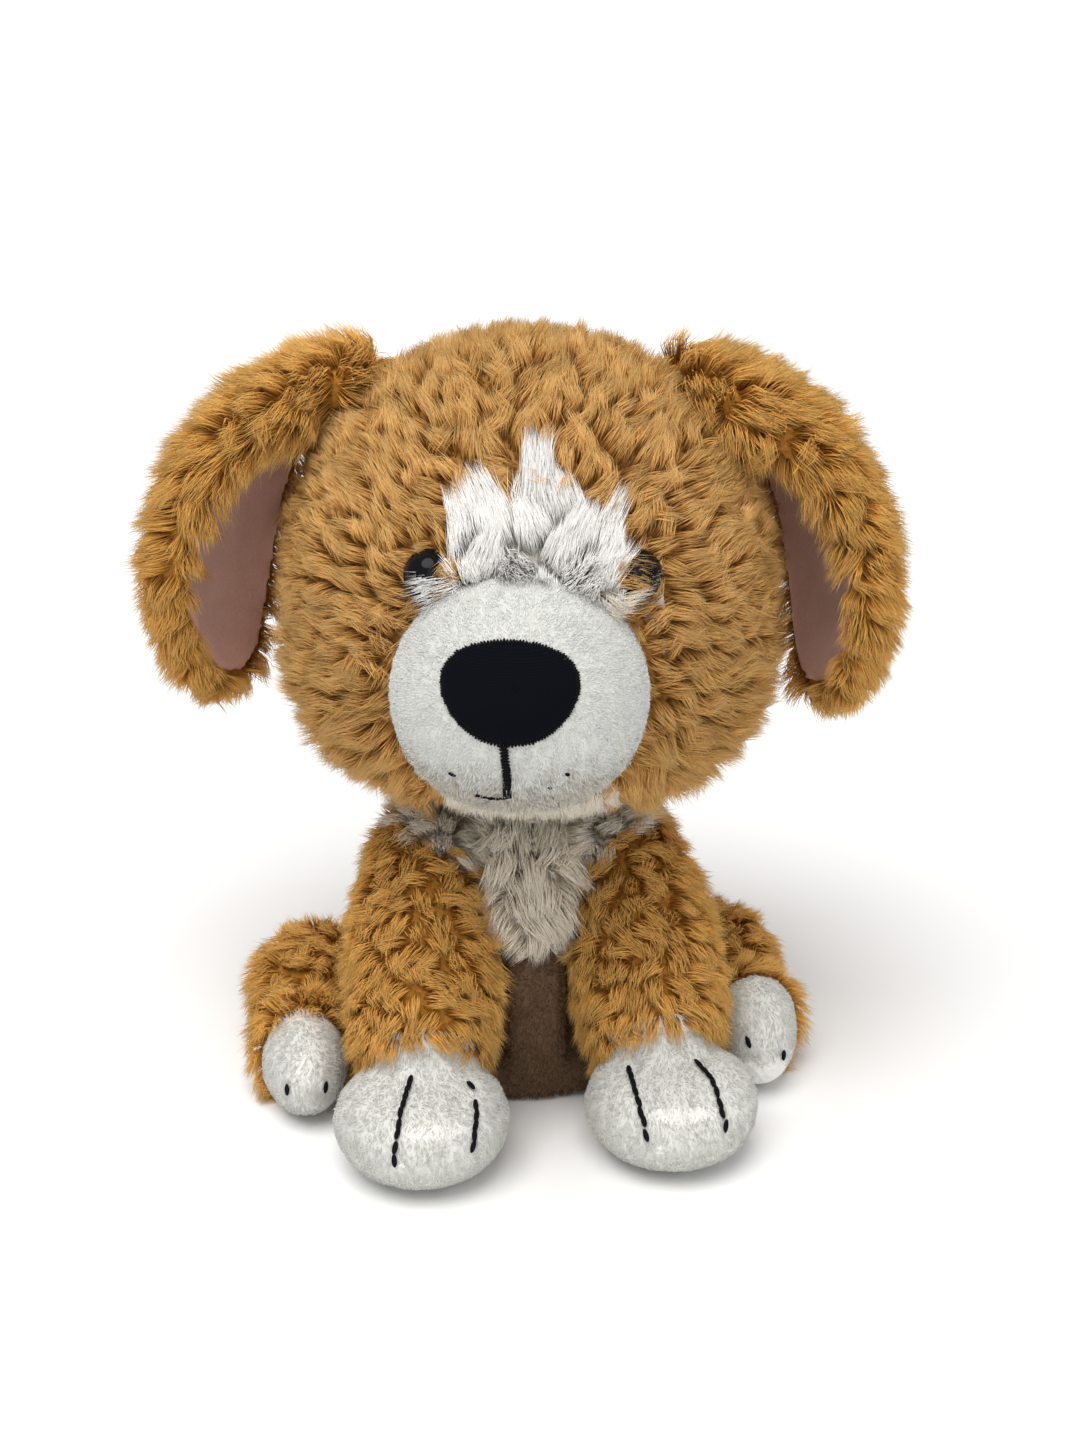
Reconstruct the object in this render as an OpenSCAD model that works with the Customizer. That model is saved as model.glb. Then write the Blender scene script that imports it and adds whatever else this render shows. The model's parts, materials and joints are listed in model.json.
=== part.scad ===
// Sitting plush dog: fur skins sewn over polyester filling, soft seams as its joints.
// Millimetres, +Z up, the dog looks along -Y, and its own left side is +X.
// The origin is under the middle of the toy, on the surface it sits on.

/* [Head] */
// Width of the head skin, cheek to cheek
head_w = 128; // [120:1:136]
// Depth of the head skin, brow to nape
head_d = 114; // [108:1:120]
// Height of the head skin, jowls to crown
head_h = 125; // [120:1:128]
// Height of the middle of the head above the floor
head_z = 144; // [143:1:148]
// Turn of the head towards the dog's right
head_turn = 10; // [0:1:12]
// Width of the muzzle
muzzle_w = 62; // [56:1:64]
// Width of the nose patch
nose_w = 32; // [26:1:36]
// Height of the nose patch
nose_h = 26; // [22:1:28]
// Diameter of an eye
eye_d = 13; // [11:0.5:15]
// Distance between the eye centres
eye_spacing = 50; // [49:1:56]
// Height of the eyes above the middle of the head
eye_lift = 17; // [17:1:20]

/* [Ears] */
// Height of an ear leaf, root to tip
ear_len = 87; // [80:1:94]
// Width of an ear leaf, front to back
ear_w = 60; // [54:1:66]
// Turn of the ear that shows its lining to the front
ear_flare = 18; // [10:1:26]
// How far the pair of ears is sewn off centre, towards the dog's left
ear_shift = -2; // [-3:1:3]

/* [Body] */
// Width of the seat
torso_w = 104; // [98:1:108]
// Depth of the seat
torso_d = 92; // [86:1:96]
// Width of the shoulders
shoulder_w = 74; // [68:1:78]
// Length of the tail
tail_len = 44; // [36:1:48]

/* [Legs] */
// Width of a front leg
foreleg_w = 38; // [35:1:39]
// Distance between the front paw centres
paw_spacing = 66; // [63:1:68]
// Length of a front paw
paw_len = 50; // [46:1:54]
// Distance between the hind paw centres
hind_spacing = 125; // [123:1:128]

/* [Cloth] */
// Thickness of a skin, backing and short pile together
skin = 2; // [1.5:0.1:2.4]
// Gap between two pieces that move against each other
gap = 0.4; // [0.3:0.05:0.6]

/* [Hidden] */
$fn = 64;

fur_light = "#c79a62";
fur_deep = "#b8843f";
white_pile = "#e6e1da";
mauve = "#a88386";
taupe = "#5d4a40";
black = "#15161a";
fibre = "#f2f0ea";
label_tan = "#a58c5c";

body_shift = [0.8, 10.3, 0];
slack = 0.3;
far = 400;
thread = 0.9;
mouth_drop = 15.5;
mouth_h = 14;
lip_w = 8;

// Head, in its own frame: the origin is the neck pivot under the head
neck_pivot = [2.5, -2, 88];
neck_r = 19;
head_c = [1, -8, head_z - neck_pivot[2]];
head_r = [head_w / 2, head_d / 2, head_h / 2];
muzzle_c = [1.5, head_c[1] - 56, head_c[2] - 11];
muzzle_r = [muzzle_w / 2, 31, 29];
muzzle_rim = 11;
nose_tilt = 22;
nose_puff = 5;
nose_sink = 2;
eye_mid_x = 3.5;
eye_seat = 1.5;
eye_proud = 0.4;
shank_r = 2.2;
shank_reach = 20;
washer_r = 4.8;
washer_t = 1.2;
washer_depth = 3;
blaze_foot = 10;
blaze_corners = [[-15, 0], [-17, 12], [-21, 22], [-14, 38], [0, 44], [14, 38], [21, 22], [19, 0]];
whisker_at = [11, -9];
whisker_step = [5, -3];

ear_root = [44, -2, head_c[2] + 50];
ear_roll_r = 5.5;
ear_dome_h = 61;
ear_roll_w = 26;
ear_out = 50;
ear_top = 4;
ear_fur_t = 7;
ear_lining_t = 2.5;
ear_hem = 6;

// Torso
torso_c = [0, 3, 26];
torso_r = [torso_w / 2, torso_d / 2, 46];
flank_x = 37.5;
leg_bay_x = 7.4;
shoulder_c = [0, -2, 52];
shoulder_r = [shoulder_w / 2, shoulder_w / 2 - 2, 32.5];
base_t = 2;
bib_split_z = 50;
bib_w = 2 * leg_bay_x;
belly_w = 34;
pouch_c = [0, 14, 17];
pouch_r = [26, 22, 11];
pouch_t = 0.8;
label_size = [16, 1.2, 9];
label_c = [38, 12, 73];
label_rise = 30;

// Front legs
shoulder = [27, -12, 62];
arm_r = foreleg_w / 2;
arm_half = 49;
arm_back = 20;
paw_c = [paw_spacing / 2, -63, 13.5];
paw_r = [24.5, paw_len / 2, 16];
cuff_at = 54;
toe_offset = 8;
toe_low = 9;
toe_reach = 5;

// Hind legs
hip = [56, 6, 16];
hip_r = [18, 22, 14.5];
foot_c = [hind_spacing / 2, -27, 13.5];
foot_r = [13.5, 22, 15.5];
foot_split_y = -26;
hind_toe_offset = 5;

tail_c = [0, 49, 22];
tail_r = 9;
tail_end_r = 8.5;
tail_rise = 35;

function grown(r, g) = [r[0] + g, r[1] + g, r[2] + g];

// Point of the head skin at x and z from the middle of the head, and the way it faces
function head_y(x, z) = -head_r[1] * sqrt(1 - pow(x / head_r[0], 2) - pow(z / head_r[2], 2));
function head_normal(x, z) =
    [x / pow(head_r[0], 2), head_y(x, z) / pow(head_r[1], 2), z / pow(head_r[2], 2)];

// Ellipsoid with three radii
module egg(r) {
    scale([r[0], r[1], r[2]]) sphere(r = 1);
}

// The same ellipsoid built with its poles at its sides
module side_egg(r) {
    rotate([0, 90, 0]) egg([r[2], r[1], r[0]]);
}

module above(z) {
    translate([-far, -far, z]) cube([2 * far, 2 * far, far]);
}

module below(z) {
    translate([-far, -far, z - far]) cube([2 * far, 2 * far, far]);
}

module in_body() {
    translate(body_shift) children();
}

module in_head() {
    in_body() translate(neck_pivot) rotate([0, 0, -head_turn]) children();
}

// side is 1 for the dog's left and -1 for its right
module on_side(side) {
    if (side > 0) children();
    else mirror([1, 0, 0]) children();
}

// ---- head -------------------------------------------------------------

module head_form(g = 0) {
    translate(head_c) egg(grown(head_r, g));
}

module muzzle_form(g = 0) {
    translate(muzzle_c) rotate([90, 0, 0]) egg([muzzle_r[0] + g, muzzle_r[2] + g, muzzle_r[1] + g]);
}

module neck_ball(g = 0) {
    sphere(r = neck_r + g);
}

// Frame of one eye: origin on the head skin, looking out along its own -Y
module at_eye(side) {
    x = eye_mid_x + side * eye_spacing / 2;
    out = head_normal(x, eye_lift);
    translate(head_c + [x, head_y(x, eye_lift), eye_lift])
        rotate([0, 0, atan2(out[0], -out[1])])
            rotate([-atan2(out[2], norm([out[0], out[1]])), 0, 0]) children();
}

module shank_hole(side, g) {
    at_eye(side) translate([0, -eye_seat, 0]) rotate([-90, 0, 0])
        cylinder(r = shank_r + g, h = shank_reach);
}

// Outline of the white panel from the muzzle up to the brow, seen from the front
module blaze_outline() {
    translate([head_c[0], 0, head_c[2] + blaze_foot]) rotate([90, 0, 0]) linear_extrude(height = far)
        polygon(blaze_corners);
}

module ear_sockets(g) {
    for (side = [-1, 1]) at_ear(side) ear_roll(g);
}

module head_shell() {
    color(fur_light) in_head() difference() {
        head_form();
        head_form(-skin);
        muzzle_form();
        neck_ball(gap);
        ear_sockets(gap);
        blaze_outline();
        for (side = [-1, 1]) shank_hole(side, slack);
    }
}

module forehead_blaze() {
    color(white_pile) in_head() difference() {
        intersection() {
            head_form();
            blaze_outline();
        }
        head_form(-skin);
        muzzle_form();
        for (side = [-1, 1]) shank_hole(side, slack);
    }
}

module muzzle_shell() {
    color(white_pile) in_head() difference() {
        muzzle_form();
        muzzle_form(-skin);
        translate(muzzle_c + [-far, muzzle_rim, -far]) cube(2 * far);
    }
}

module muzzle_stuffing() {
    color(fibre) in_head() muzzle_form(-skin - slack);
}

module nose() {
    color(black) in_head() difference() {
        translate(muzzle_c) rotate([-nose_tilt, 0, 0]) translate([0, nose_sink - muzzle_r[1], 0])
            egg([nose_w / 2, nose_puff, nose_h / 2]);
        muzzle_form();
    }
}

// Thread lying on the front of the muzzle, cut from a thin layer over it
module muzzle_thread() {
    color(black) in_head() intersection() {
        difference() {
            muzzle_form(thread);
            muzzle_form();
        }
        translate([0, muzzle_c[1], muzzle_c[2]]) children();
    }
}

module mouth_stitching() {
    muzzle_thread() translate([-thread, -far, -mouth_drop]) cube([2 * thread, far, mouth_h]);
    muzzle_thread() translate([-lip_w, -far, -mouth_drop - 2 * thread])
        cube([lip_w + thread, far, 2 * thread - slack / 3]);
}

module whisker_stitches() {
    for (side = [-1, 1], k = [0 : 1])
        let (at = whisker_at + k * whisker_step)
            muzzle_thread() translate([side * at[0], 0, at[1]])
                rotate([90, 0, 0]) cylinder(r = thread, h = far);
}

module head_stuffing() {
    color(fibre) in_head() difference() {
        head_form(-skin - slack);
        muzzle_form(slack);
        neck_ball(gap);
        ear_sockets(gap + skin);
        for (side = [-1, 1]) {
            shank_hole(side, slack);
            at_eye(side) washer(slack);
        }
    }
}

module eye(side) {
    color(black) in_head() at_eye(side) translate([0, -eye_proud, 0]) {
        intersection() {
            translate([0, eye_seat, 0]) sphere(r = eye_d / 2);
            translate([-far, -far, -far]) cube([2 * far, far, 2 * far]);
        }
        translate([0, -eye_seat, 0]) rotate([-90, 0, 0])
            cylinder(r = shank_r, h = washer_depth + washer_t + 3 * eye_seat);
    }
}
module eye_left() { eye(1); }
module eye_right() { eye(-1); }

module washer(g = 0) {
    translate([0, washer_depth - g, 0]) rotate([-90, 0, 0]) cylinder(r = washer_r + g, h = washer_t + 2 * g);
}

module eye_washers() {
    color(white_pile) in_head() for (side = [-1, 1]) difference() {
        at_eye(side) washer();
        shank_hole(side, slack / 3);
    }
}

module neck_wad() {
    color(fibre) in_body() translate(neck_pivot) neck_ball();
}

// ---- ears -------------------------------------------------------------

// Frame of one ear: origin on its seam, the leaf spreads out along its own +X
module at_ear(side) {
    translate([ear_shift, 0, 0]) on_side(side) translate(ear_root) rotate([0, 0, ear_flare]) children();
}

// Sewn root of the ear, a roll along its fold
module ear_roll(g = 0) {
    rotate([90, 0, 0]) cylinder(r = ear_roll_r + g, h = ear_roll_w + 2 * g, center = true);
}

// Space inside one layer of the drooping leaf
module ear_dome(g) {
    translate([0, 0, ear_top - ear_dome_h]) egg([ear_out + g, ear_w + g, ear_dome_h + g]);
}

// One layer of the leaf, starting a little way out from the root, its rim drawn in by hem
module ear_leaf(outside, inside, start, hem = 0) {
    intersection() {
        difference() {
            ear_dome(outside);
            ear_dome(inside);
        }
        translate([start, 0, ear_top - ear_len / 2]) rotate([0, 90, 0])
            scale([ear_len / 2 + ear_roll_r - hem, ear_w / 2 - hem, 1]) cylinder(r = 1, h = far);
    }
}

module ear_outer(side) {
    color(fur_deep) in_head() at_ear(side) {
        ear_leaf(0, -ear_fur_t, ear_roll_r / 2);
        ear_roll();
    }
}
module ear_left_outer() { ear_outer(1); }
module ear_right_outer() { ear_outer(-1); }

module ear_lining(side) {
    color(mauve) in_head() at_ear(side)
        ear_leaf(-ear_fur_t, -ear_fur_t - ear_lining_t, ear_roll_r + slack / 3, ear_hem);
}
module ear_left_lining() { ear_lining(1); }
module ear_right_lining() { ear_lining(-1); }

// ---- torso ------------------------------------------------------------

module torso_form(g = 0) {
    difference() {
        intersection() {
            union() {
                translate(torso_c) egg(grown(torso_r, g));
                translate(shoulder_c) egg(grown(shoulder_r, g));
            }
            translate([-flank_x - g, -far, -g]) cube([2 * (flank_x + g), 2 * far, far]);
        }
        for (side = [-1, 1]) on_side(side) leg_bay(gap - g);
        translate(neck_pivot) neck_ball(gap - g);
        translate(tail_c) sphere(r = tail_r + 3 * gap - g);
    }
}

// Flat-sided space that a front leg presses into the chest
module leg_bay(g) {
    translate(shoulder) rotate([90 + arm_tilt, 0, 0])
        translate([leg_bay_x - shoulder[0] - g, -arm_r - g, -arm_back - g]) cube(far);
}

module torso_skin_blank() {
    difference() {
        torso_form();
        torso_form(-skin);
    }
}

module front_window(w, z0, z1) {
    translate([-w / 2, -far, z0]) cube([w, far, z1 - z0]);
}

module torso_shell() {
    color(fur_deep) in_body() difference() {
        torso_skin_blank();
        front_window(belly_w, 0, bib_split_z);
        front_window(bib_w, bib_split_z, far);
        below(base_t);
    }
}

module chest_bib() {
    color(white_pile) in_body() intersection() {
        torso_skin_blank();
        front_window(bib_w, bib_split_z, far);
    }
}

module belly_panel() {
    color(taupe) in_body() intersection() {
        torso_skin_blank();
        front_window(belly_w, base_t, bib_split_z);
    }
}

module base_panel() {
    color(taupe) in_body() intersection() {
        torso_form();
        below(base_t);
    }
}

module torso_stuffing() {
    color(fibre) in_body() difference() {
        torso_form(-skin - slack);
        translate(pouch_c) egg(grown(pouch_r, slack));
    }
}

module bean_pouch() {
    color(fibre) in_body() translate(pouch_c) difference() {
        egg(pouch_r);
        egg(grown(pouch_r, -pouch_t));
    }
}

module bean_pellets() {
    color(white_pile) in_body() translate(pouch_c) egg(grown(pouch_r, -pouch_t - slack / 3));
}

module sewn_label() {
    color(label_tan) in_body() translate(label_c) rotate([0, -label_rise, 0]) cube(label_size, center = true);
}

// ---- tail -------------------------------------------------------------

module tail_form(g = 0) {
    translate(tail_c) {
        sphere(r = tail_r + g);
        rotate([tail_rise, 0, 0]) translate([0, tail_len / 2 - tail_r, 0])
            egg([tail_end_r + g, tail_len / 2 + g, tail_end_r + g]);
    }
}

module tail_skin() {
    color(fur_deep) in_body() difference() {
        tail_form();
        tail_form(-skin);
    }
}

module tail_stuffing() {
    color(fibre) in_body() tail_form(-skin - slack);
}

// ---- front legs -------------------------------------------------------

arm_run = shoulder[1] - paw_c[1];
arm_tilt = atan2(shoulder[2] - paw_c[2], arm_run);
arm_splay = atan2(paw_c[0] - shoulder[0], arm_run);

// Frame along the leg: origin at the shoulder, +Z towards the paw
module along_arm() {
    translate(shoulder) rotate([0, 0, arm_splay]) rotate([90 + arm_tilt, 0, 0]) children();
}

module foreleg_form(g = 0) {
    intersection() {
        union() {
            along_arm() translate([0, 0, arm_half - arm_back]) egg([arm_r + g, arm_r + g, arm_half + g]);
            translate(paw_c) egg(grown(paw_r, g));
        }
        above(-g);
    }
}

module past_cuff() {
    along_arm() translate([-far, -far, cuff_at]) cube([2 * far, 2 * far, far]);
}

module foreleg_skin() {
    difference() {
        foreleg_form();
        foreleg_form(-skin);
    }
}

module foreleg_sleeve(side) {
    color(fur_deep) in_body() on_side(side) difference() {
        foreleg_skin();
        past_cuff();
    }
}
module front_leg_left_sleeve() { foreleg_sleeve(1); }
module front_leg_right_sleeve() { foreleg_sleeve(-1); }

module foreleg_stuffing(side) {
    color(fibre) in_body() on_side(side) foreleg_form(-skin - slack);
}
module front_leg_left_stuffing() { foreleg_stuffing(1); }
module front_leg_right_stuffing() { foreleg_stuffing(-1); }

module front_paw(side) {
    color(white_pile) in_body() on_side(side) intersection() {
        foreleg_skin();
        past_cuff();
    }
}
module front_paw_left() { front_paw(1); }
module front_paw_right() { front_paw(-1); }

module front_toes(side) {
    color(black) in_body() on_side(side) for (dx = [-toe_offset, toe_offset]) intersection() {
        difference() {
            translate(paw_c) side_egg(grown(paw_r, thread));
            translate(paw_c) side_egg(paw_r);
        }
        translate([paw_c[0] + dx - thread, -far, toe_low])
            cube([2 * thread, far + paw_c[1] - toe_reach, far]);
    }
}
module front_toes_left() { front_toes(1); }
module front_toes_right() { front_toes(-1); }

// ---- hind legs --------------------------------------------------------

module hind_form(g = 0) {
    intersection() {
        union() {
            translate(hip) egg(grown(hip_r, g));
            translate(foot_c) egg(grown(foot_r, g));
        }
        above(-g);
    }
}

module hind_skin() {
    difference() {
        hind_form();
        hind_form(-skin);
    }
}

module past_ankle() {
    translate([-far, -far + foot_split_y, -far / 2]) cube([2 * far, far, far]);
}

module hind_sleeve(side) {
    color(fur_deep) in_body() on_side(side) difference() {
        hind_skin();
        past_ankle();
    }
}
module hind_leg_left_sleeve() { hind_sleeve(1); }
module hind_leg_right_sleeve() { hind_sleeve(-1); }

module hind_stuffing(side) {
    color(fibre) in_body() on_side(side) hind_form(-skin - slack);
}
module hind_leg_left_stuffing() { hind_stuffing(1); }
module hind_leg_right_stuffing() { hind_stuffing(-1); }

module hind_paw(side) {
    color(white_pile) in_body() on_side(side) intersection() {
        hind_skin();
        past_ankle();
    }
}
module hind_paw_left() { hind_paw(1); }
module hind_paw_right() { hind_paw(-1); }

module hind_toes(side) {
    color(black) in_body() on_side(side) for (dx = [-hind_toe_offset, hind_toe_offset]) intersection() {
        difference() {
            translate(foot_c) side_egg(grown(foot_r, thread));
            translate(foot_c) side_egg(foot_r);
        }
        translate([foot_c[0] + dx - thread, -far, toe_low])
            cube([2 * thread, far + foot_c[1] - toe_reach, far]);
    }
}
module hind_toes_left() { hind_toes(1); }
module hind_toes_right() { hind_toes(-1); }

head_shell();
forehead_blaze();
muzzle_shell();
nose();
mouth_stitching();
whisker_stitches();
head_stuffing();
muzzle_stuffing();
eye_left();
eye_right();
eye_washers();
neck_wad();
ear_left_outer();
ear_left_lining();
ear_right_outer();
ear_right_lining();
torso_shell();
chest_bib();
belly_panel();
base_panel();
torso_stuffing();
bean_pouch();
bean_pellets();
sewn_label();
tail_skin();
tail_stuffing();
front_leg_left_sleeve();
front_leg_left_stuffing();
front_paw_left();
front_toes_left();
front_leg_right_sleeve();
front_leg_right_stuffing();
front_paw_right();
front_toes_right();
hind_leg_left_sleeve();
hind_leg_left_stuffing();
hind_paw_left();
hind_toes_left();
hind_leg_right_sleeve();
hind_leg_right_stuffing();
hind_paw_right();
hind_toes_right();
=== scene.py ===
"""Looks of the sitting plush dog: stuffed skins, grown pile, stitching, a soft studio and the camera."""

import json
import math

import bmesh
import bpy
import numpy as np
from mathutils import Matrix, Vector, kdtree
from mathutils.bvhtree import BVHTree


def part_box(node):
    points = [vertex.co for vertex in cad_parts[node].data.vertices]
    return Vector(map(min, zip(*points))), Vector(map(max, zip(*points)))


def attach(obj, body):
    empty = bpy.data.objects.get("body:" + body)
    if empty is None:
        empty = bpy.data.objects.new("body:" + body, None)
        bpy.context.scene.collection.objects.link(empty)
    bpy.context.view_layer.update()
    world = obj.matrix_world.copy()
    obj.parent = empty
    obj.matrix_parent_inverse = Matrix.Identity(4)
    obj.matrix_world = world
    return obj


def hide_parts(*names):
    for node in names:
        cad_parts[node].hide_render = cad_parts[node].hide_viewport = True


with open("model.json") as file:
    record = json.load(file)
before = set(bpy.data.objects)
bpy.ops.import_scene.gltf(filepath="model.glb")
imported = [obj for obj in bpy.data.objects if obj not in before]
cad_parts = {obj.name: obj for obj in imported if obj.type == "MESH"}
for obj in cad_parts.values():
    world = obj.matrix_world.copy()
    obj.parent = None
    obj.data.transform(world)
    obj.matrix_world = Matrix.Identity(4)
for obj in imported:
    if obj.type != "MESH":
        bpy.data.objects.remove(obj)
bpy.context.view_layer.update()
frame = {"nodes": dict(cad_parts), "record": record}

MM = 0.001
CLEAR_OF_FLOOR = 0.3 * MM
SIDES = {"left": 1, "right": -1}
NODES = frame["nodes"]
JOINTS = {j["name"]: j for j in frame["record"]["behaviour"]["joints"]}


# ---- places, all read from the frame ---------

def middle(node):
    low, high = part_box(node)
    return (low + high) / 2


def half(node):
    low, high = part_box(node)
    return (high - low) / 2


HEAD_X = Vector(JOINTS["head_nod"]["axis"]).normalized()
FACE = -Vector((0, 0, 1)).cross(HEAD_X).normalized()
ASIDE, OUTWARD, UP = np.array(HEAD_X), np.array(FACE), np.array((0.0, 0.0, 1.0))
HEAD_C = middle("head_stuffing")
MUZZLE_C = middle("muzzle_stuffing")
MUZZLE_R = half("muzzle_stuffing")
NOSE_C = middle("nose")
NOSE_OFF = 0.7  # mm that the nose sits aside of and below its node's middle


def head_side(points):
    """Sideways distance of points from the middle plane of the face."""
    return (points - np.array(MUZZLE_C)) @ ASIDE


# ---- materials -------------------------------

def new_material(name, roughness=0.9, sheen=0.0, specular=0.3):
    material = bpy.data.materials.new(name)
    material.use_nodes = True
    shader = material.node_tree.nodes["Principled BSDF"]
    shader.inputs["Roughness"].default_value = roughness
    shader.inputs["Sheen Weight"].default_value = sheen
    shader.inputs["Sheen Roughness"].default_value = 0.5
    shader.inputs["Specular IOR Level"].default_value = specular
    return material, material.node_tree.nodes, material.node_tree.links, shader


def ramp(nodes, stops):
    node = nodes.new("ShaderNodeValToRGB")
    elements = node.color_ramp.elements
    while len(elements) < len(stops):
        elements.new(0.5)
    for element, (at, colour) in zip(elements, stops):
        element.position = at
        element.color = (*colour, 1)
    return node


def pile_material(name, root, middle_colour, tip, spread=0.35):
    """Colour of one strand from root to tip, darker at the root as painted shade among the strands, and its own random
    shade, both read from the strand's UVs.
    """
    material, nodes, links, shader = new_material(name, roughness=0.8, sheen=0.0, specular=0.1)
    uv = nodes.new("ShaderNodeUVMap")
    uv.uv_map = "OFBake"
    split = nodes.new("ShaderNodeSeparateXYZ")
    # The root colour is painted shade where the strands crowd; the colour lightens toward the tip.
    along = ramp(nodes, [(0.0, root), (0.45, middle_colour), (1.0, tip)])
    shade = nodes.new("ShaderNodeMapRange")
    shade.inputs["To Min"].default_value = 1 - spread
    shade.inputs["To Max"].default_value = 1 + spread
    tint = nodes.new("ShaderNodeHueSaturation")
    links.new(uv.outputs["UV"], split.inputs[0])
    links.new(split.outputs["Y"], along.inputs[0])
    links.new(split.outputs["X"], shade.inputs["Value"])
    links.new(shade.outputs["Result"], tint.inputs["Value"])
    links.new(along.outputs["Color"], tint.inputs["Color"])
    links.new(tint.outputs["Color"], shader.inputs["Base Color"])
    return material


def cloth_material(name, dark, light, grain=900.0, bump=0.3, roughness=0.95, sheen=0.3, depth=0.0006):
    """Short nap or knit: fine noise in colour and height over a slow change of shade."""
    material, nodes, links, shader = new_material(name, roughness, sheen, specular=0.2)
    place = nodes.new("ShaderNodeTexCoord")
    fine = nodes.new("ShaderNodeTexNoise")
    fine.inputs["Scale"].default_value = grain
    fine.inputs["Detail"].default_value = 4
    slow = nodes.new("ShaderNodeTexNoise")
    slow.inputs["Scale"].default_value = grain / 16
    both = nodes.new("ShaderNodeMix")
    both.data_type = "FLOAT"
    both.inputs[0].default_value = 0.45
    colour = ramp(nodes, [(0.3, dark), (0.7, light)])
    relief = nodes.new("ShaderNodeBump")
    relief.inputs["Strength"].default_value = bump
    relief.inputs["Distance"].default_value = depth
    for noise in (fine, slow):
        links.new(place.outputs["Object"], noise.inputs["Vector"])
    links.new(fine.outputs["Fac"], both.inputs[2])
    links.new(slow.outputs["Fac"], both.inputs[3])
    links.new(both.outputs[0], colour.inputs[0])
    links.new(colour.outputs["Color"], shader.inputs["Base Color"])
    links.new(fine.outputs["Fac"], relief.inputs["Height"])
    links.new(relief.outputs["Normal"], shader.inputs["Normal"])
    return material


def backing_material(name, dark, light):
    """Knitted backing under pile. Points' stored shares of white and taupe colour the sewn-in panels."""
    material, nodes, links, shader = new_material(name, roughness=0.95, sheen=0.0, specular=0.1)
    place = nodes.new("ShaderNodeTexCoord")
    fine = nodes.new("ShaderNodeTexNoise")
    fine.inputs["Scale"].default_value = 900
    links.new(place.outputs["Object"], fine.inputs["Vector"])
    base = ramp(nodes, [(0.3, dark), (0.7, light)])
    links.new(fine.outputs["Fac"], base.inputs[0])
    colour = base.outputs["Color"]
    for share, shades in (("white", ((0.74, 0.70, 0.64), (0.86, 0.83, 0.79))),
                          ("taupe", ((0.10, 0.06, 0.035), (0.16, 0.10, 0.06)))):
        panel = ramp(nodes, [(0.3, shades[0]), (0.7, shades[1])])
        links.new(fine.outputs["Fac"], panel.inputs[0])
        read = nodes.new("ShaderNodeAttribute")
        read.attribute_name = share
        blend = nodes.new("ShaderNodeMix")
        blend.data_type = "RGBA"
        links.new(read.outputs["Fac"], blend.inputs[0])
        links.new(colour, blend.inputs[6])
        links.new(panel.outputs["Color"], blend.inputs[7])
        colour = blend.outputs[2]
    links.new(colour, shader.inputs["Base Color"])
    return material


def woven_material(name, dark, light, pitch, bump=0.5, roughness=0.9, sheen=0.2):
    """Two crossing sets of threads, as on ribbed cloth or tape."""
    material, nodes, links, shader = new_material(name, roughness, sheen, specular=0.05)
    place = nodes.new("ShaderNodeTexCoord")
    height = nodes.new("ShaderNodeMath")
    height.operation = "MAXIMUM"
    for k, direction in enumerate(("X", "Z")):
        wave = nodes.new("ShaderNodeTexWave")
        wave.bands_direction = direction
        wave.inputs["Scale"].default_value = 1 / (pitch * 3.2)
        wave.inputs["Distortion"].default_value = 0.6
        links.new(place.outputs["Object"], wave.inputs["Vector"])
        links.new(wave.outputs["Fac"], height.inputs[k])
    colour = ramp(nodes, [(0.2, dark), (0.9, light)])
    relief = nodes.new("ShaderNodeBump")
    relief.inputs["Strength"].default_value = bump
    relief.inputs["Distance"].default_value = 0.0003
    links.new(height.outputs[0], colour.inputs[0])
    links.new(height.outputs[0], relief.inputs["Height"])
    links.new(colour.outputs["Color"], shader.inputs["Base Color"])
    links.new(relief.outputs["Normal"], shader.inputs["Normal"])
    return material


def gloss_material(name, colour):
    material, nodes, links, shader = new_material(name, roughness=0.12, sheen=0.0, specular=0.12)
    place = nodes.new("ShaderNodeTexCoord")
    noise = nodes.new("ShaderNodeTexNoise")
    noise.inputs["Scale"].default_value = 120
    tone = ramp(nodes, [(0.3, colour), (0.7, tuple(c * 1.6 for c in colour))])
    links.new(place.outputs["Object"], noise.inputs["Vector"])
    links.new(noise.outputs["Fac"], tone.inputs[0])
    links.new(tone.outputs["Color"], shader.inputs["Base Color"])
    return material


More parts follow.
